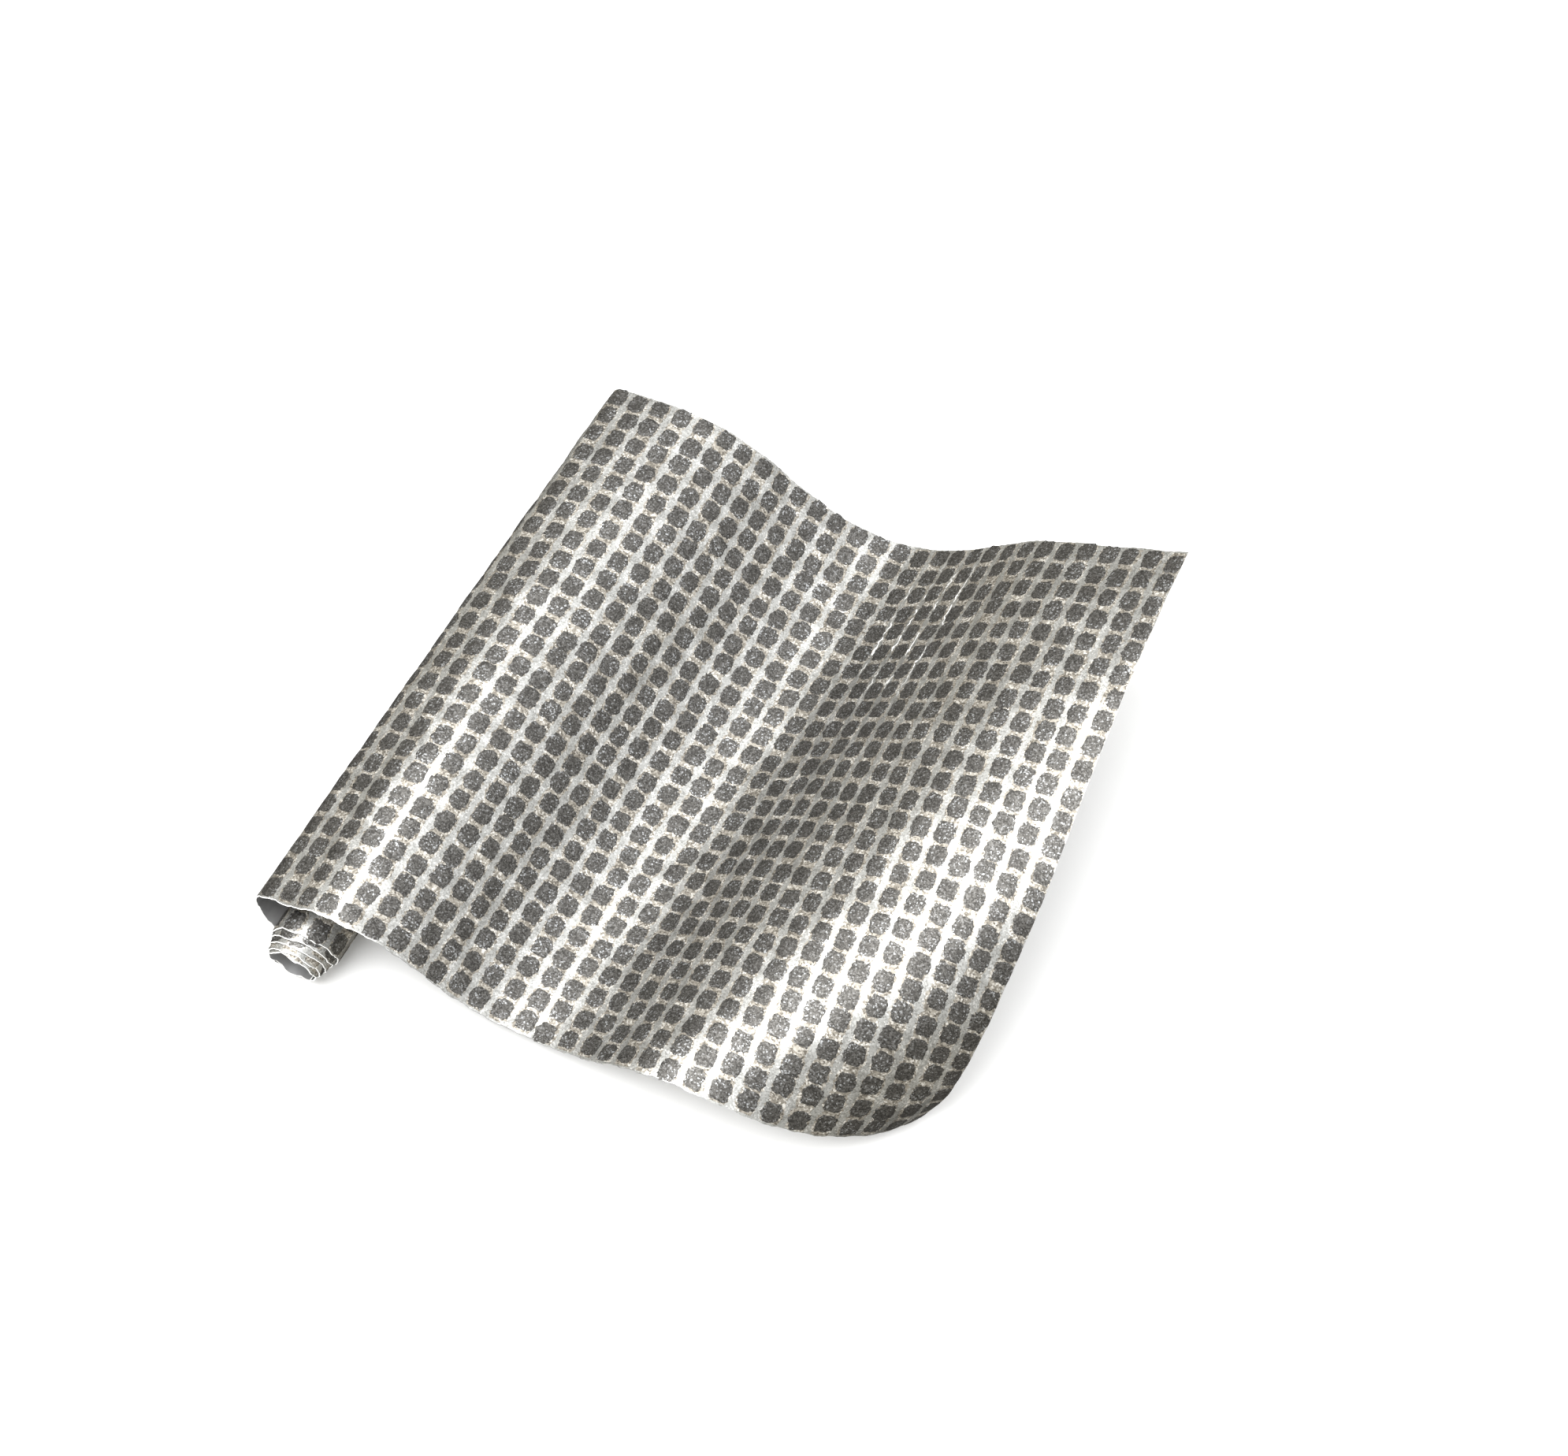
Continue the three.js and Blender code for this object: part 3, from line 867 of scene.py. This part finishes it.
def follow_nose(piece):
    """The piece goes with the roll or the lap, or with neither if it reaches round the nose."""
    follow(piece, "roll", "lap", (0, 0, NOSE_BLEND[0]), (0, 0, NOSE_BLEND[1]))


# ---- The object -------------------------------------------------------------------------------------
def add_layers():
    """The backing, foam and face film, each in three stretches: the roll, the nose and the open sheet."""
    stretches = [
        ("roll", ROLL_END, NOSE_START, ["roll"]),
        ("nose", NOSE_START, NOSE_SEAM, ["roll", "lap"]),
        ("open", NOSE_SEAM, FREE_END, ["lap", "free_end"]),
    ]
    layers = [
        ("backing_film", 0, BACKING_TOP, BACKING),
        ("foam_core", BACKING_TOP, FOAM_TOP, FOAM),
        ("silver_film", FOAM_TOP, FILM_TOP, SILVER),
    ]
    for stretch, start, end, bodies in stretches:
        for kind, low, high, material_used in layers:
            piece = layer(f"{kind}_{stretch}", start, end, low, high, material_used, kind == "foam_core")
            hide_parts(*[f"{body}_{kind}" for body in bodies])
            if stretch == "roll":
                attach(piece, "roll")
            elif stretch == "nose":
                follow_nose(piece)
            else:
                follow_valley(piece)


def add_nubs():
    """One piece for each row of nubs that the design has, and one for the rows inside the roll."""
    nodes = {row: f"nub_strip_{row:02d}" for row in range(2, LAST_ROW + 1)}
    nodes.update({1: "nose_nub_strip_3", 0: "nose_nub_strip_2", -1: "nose_nub_strip_1"})
    nodes.update({-1 - i: f"roll_nub_strip_{i:02d}" for i in range(1, ROLL_ROWS + 1)})
    for row, node in sorted(nodes.items()):
        piece = nub_row(node.replace("strip", "row"), [row])
        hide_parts(node)
        centre = (row + ROW_PHASE) * PITCH
        if centre > NOSE_SEAM:
            follow_valley(piece)
        elif centre > NOSE_START:
            follow_nose(piece)
        else:
            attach(piece, "roll")
    first_inner = math.ceil(ROLL_END / PITCH) + 1
    inner_rows = range(first_inner, -1 - ROLL_ROWS)
    inner = nub_row("roll_inner_nub_rows", inner_rows, points=INNER_NUB_POINTS)
    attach(inner, "roll")


add_camera()
add_key_light()
add_world()
add_floor()
bpy.context.scene.view_settings.view_transform = "Standard"
add_layers()
add_nubs()
